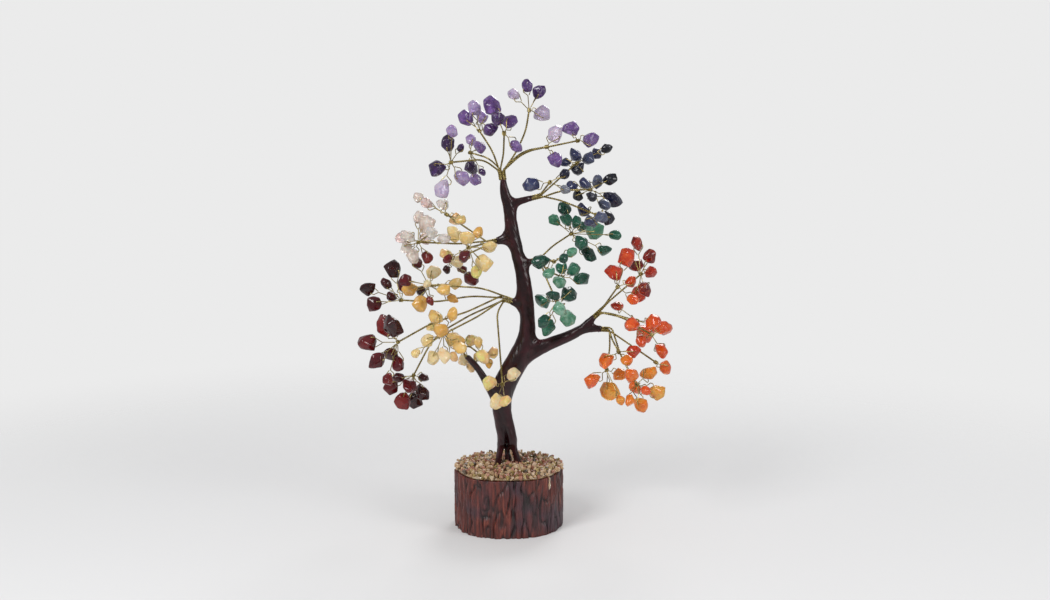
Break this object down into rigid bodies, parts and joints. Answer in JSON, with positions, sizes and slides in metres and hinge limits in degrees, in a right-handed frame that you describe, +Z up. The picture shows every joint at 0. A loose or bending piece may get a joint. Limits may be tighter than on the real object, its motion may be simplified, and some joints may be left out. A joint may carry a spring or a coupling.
{
  "type": "gemstone tree ornament",
  "caption": "Free-standing ornamental tree on a log slice: a lacquered wire trunk whose wire sprays carry drilled, tumbled stone chips in many colours, rooted in a bed of gravel.",
  "frame": {"origin": "middle of the flat underside of the log slice", "axes": "+Z up along the trunk, +X to the right and -Y towards the viewer of the front"},
  "size_m": [0.196, 0.1195, 0.2775],
  "materials": {
    "bark": "rough bark, oiled",
    "resin": "clear, glossy",
    "lacquered_wrap": "dark brown gloss lacquer",
    "armature_wire": "drawn wire",
    "gold_wire": "drawn wire, pale gold",
    "gravel_cream": "crushed",
    "gravel_olive": "crushed",
    "gravel_terracotta": "crushed",
    "gravel_dark": "crushed",
    "amethyst": "tumbled, translucent purple",
    "sodalite": "tumbled, dark blue with grey veins",
    "aventurine": "tumbled, translucent green",
    "carnelian": "tumbled, translucent red to orange",
    "quartz": "tumbled, clear to pale rose",
    "citrine": "tumbled, cream to yellow",
    "garnet": "tumbled, dark red"
  },
  "bodies": {
    "tree": {"armature": "armature_wire", "gravel_cream": "gravel_cream", "gravel_dark": "gravel_dark", "gravel_olive": "gravel_olive", "gravel_terracotta": "gravel_terracotta", "left_limb": "lacquered_wrap", "left_root": "lacquered_wrap", "left_stub": "lacquered_wrap", "lower_fork": "lacquered_wrap", "middle_root": "lacquered_wrap", "middle_stub": "lacquered_wrap", "resin_bed": "resin", "right_limb": "lacquered_wrap", "right_root": "lacquered_wrap", "right_stub": "lacquered_wrap", "top_right_limb": "lacquered_wrap", "trunk": "lacquered_wrap", "upper_fork": "lacquered_wrap", "wood_base": "bark"},
    "top_spray": {"top_amethyst_chips": "amethyst", "top_stems": "gold_wire", "top_twigs": "gold_wire"},
    "upper_right_spray": {"upper_right_sodalite_chips": "sodalite", "upper_right_stems": "gold_wire", "upper_right_twigs": "gold_wire"},
    "middle_right_spray": {"middle_right_aventurine_chips": "aventurine", "middle_right_stems": "gold_wire", "middle_right_twigs": "gold_wire"},
    "outer_right_spray": {"outer_right_carnelian_chips": "carnelian", "outer_right_stems": "gold_wire", "outer_right_twigs": "gold_wire"},
    "lower_right_spray": {"lower_right_carnelian_chips": "carnelian", "lower_right_stems": "gold_wire", "lower_right_twigs": "gold_wire"},
    "upper_left_spray": {"upper_left_citrine_chips": "citrine", "upper_left_garnet_chips": "garnet", "upper_left_quartz_chips": "quartz", "upper_left_stems": "gold_wire", "upper_left_twigs": "gold_wire"},
    "middle_left_spray": {"middle_left_citrine_chips": "citrine", "middle_left_garnet_chips": "garnet", "middle_left_stems": "gold_wire", "middle_left_twigs": "gold_wire"},
    "lower_left_spray": {"lower_left_citrine_chips": "citrine", "lower_left_stems": "gold_wire", "lower_left_twigs": "gold_wire"}
  },
  "joints": [
    {"name": "top_bend", "type": "hinge", "parent": "tree", "child": "top_spray", "pos_m": [-0.0036, 0, 0.21828], "axis": [0, 1, 0], "range_deg": [-6, 6]},
    {"name": "upper_right_bend", "type": "hinge", "parent": "tree", "child": "upper_right_spray", "pos_m": [0.01519, 0, 0.20588], "axis": [0, 1, 0], "range_deg": [-6, 6]},
    {"name": "middle_right_bend", "type": "hinge", "parent": "tree", "child": "middle_right_spray", "pos_m": [0.01457, 0, 0.16682], "axis": [0, 1, 0], "range_deg": [-6, 6]},
    {"name": "outer_right_bend", "type": "hinge", "parent": "tree", "child": "outer_right_spray", "pos_m": [0.05332, 0, 0.1321], "axis": [0, 1, 0], "range_deg": [-6, 6]},
    {"name": "lower_right_bend", "type": "hinge", "parent": "tree", "child": "lower_right_spray", "pos_m": [0.05828, 0, 0.12435], "axis": [0, 1, 0], "range_deg": [-6, 6]},
    {"name": "upper_left_bend", "type": "hinge", "parent": "tree", "child": "upper_left_spray", "pos_m": [-0.00775, 0, 0.17922], "axis": [0, 1, 0], "range_deg": [-6, 6]},
    {"name": "middle_left_bend", "type": "hinge", "parent": "tree", "child": "middle_left_spray", "pos_m": [0.00155, 0, 0.14202], "axis": [0, 1, 0], "range_deg": [-6, 6]},
    {"name": "lower_left_bend", "type": "hinge", "parent": "tree", "child": "lower_left_spray", "pos_m": [-0.02635, 0, 0.1073], "axis": [0, 1, 0], "range_deg": [-6, 6]}
  ]
}
